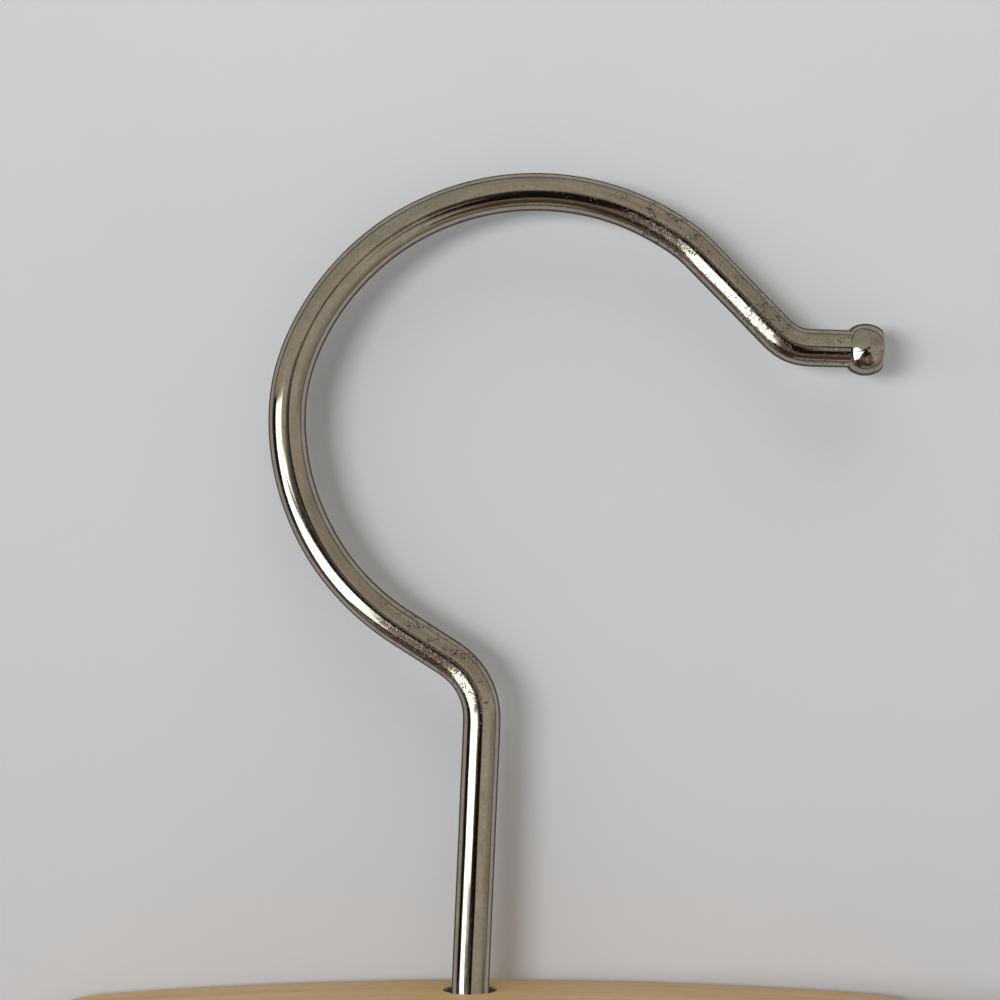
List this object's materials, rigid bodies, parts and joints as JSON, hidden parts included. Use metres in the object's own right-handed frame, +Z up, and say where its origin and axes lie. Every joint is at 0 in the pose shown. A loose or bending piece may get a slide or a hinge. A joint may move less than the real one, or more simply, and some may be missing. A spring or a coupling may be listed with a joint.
{
  "type": "trouser hanger",
  "caption": "Wooden trouser hanger: two felt-lined jaws on spring hinges, closed by a wire clasp, under a nickel-plated swivel hook with a ball end.",
  "frame": {"origin": "underside of the highest point of the hook's arc, where it sits on a rail, in the middle of the wire", "axes": "+Z up, +X to the right along the jaws towards the hook's tip, +Y towards the back"},
  "size_m": [0.25, 0.0306, 0.1356],
  "materials": {
    "nickel_wire": "nickel-plated, polished, with small pits",
    "zinc_fastener": "bright zinc-plated steel",
    "spring_steel": "drawn steel",
    "beech": "beech with a satin clear lacquer",
    "felt": "pressed dark felt"
  },
  "bodies": {
    "hook": {"hook_wire": "nickel_wire", "hook_ball_end": "nickel_wire", "hook_nut": "zinc_fastener"},
    "back_jaw": {"back_jaw": "beech", "back_felt": "felt", "hook_washer": "zinc_fastener", "left_hinge_back_leaf": "zinc_fastener", "left_hinge_pin": "spring_steel", "left_hinge_spring": "spring_steel", "right_hinge_back_leaf": "zinc_fastener", "right_hinge_pin": "spring_steel", "right_hinge_spring": "spring_steel", "back_hinge_screws": "zinc_fastener"},
    "front_jaw": {"front_jaw": "beech", "front_felt": "felt", "left_hinge_front_leaf": "zinc_fastener", "right_hinge_front_leaf": "zinc_fastener", "front_hinge_screws": "zinc_fastener"},
    "wire_clasp": {"wire_clasp": "nickel_wire"}
  },
  "joints": [
    {"name": "hook_swivel", "type": "hinge", "parent": "hook", "child": "back_jaw", "pos_m": [-0.00649, 0, -0.07788], "axis": [0, 0, 1], "continuous": true},
    {"name": "clasp_swing", "type": "hinge", "parent": "back_jaw", "child": "wire_clasp", "pos_m": [-0.00499, 0, -0.08888], "axis": [-1, 0, 0], "range_deg": [0, 90]},
    {"name": "front_jaw_open", "type": "hinge", "parent": "back_jaw", "child": "front_jaw", "pos_m": [-0.00499, -0.0082, -0.08388], "axis": [-1, 0, 0], "range_deg": [0, 22.5]}
  ],
  "couplings": [
    {"joint": "front_jaw_open", "follows": "clasp_swing", "ratio": 0.25}
  ]
}
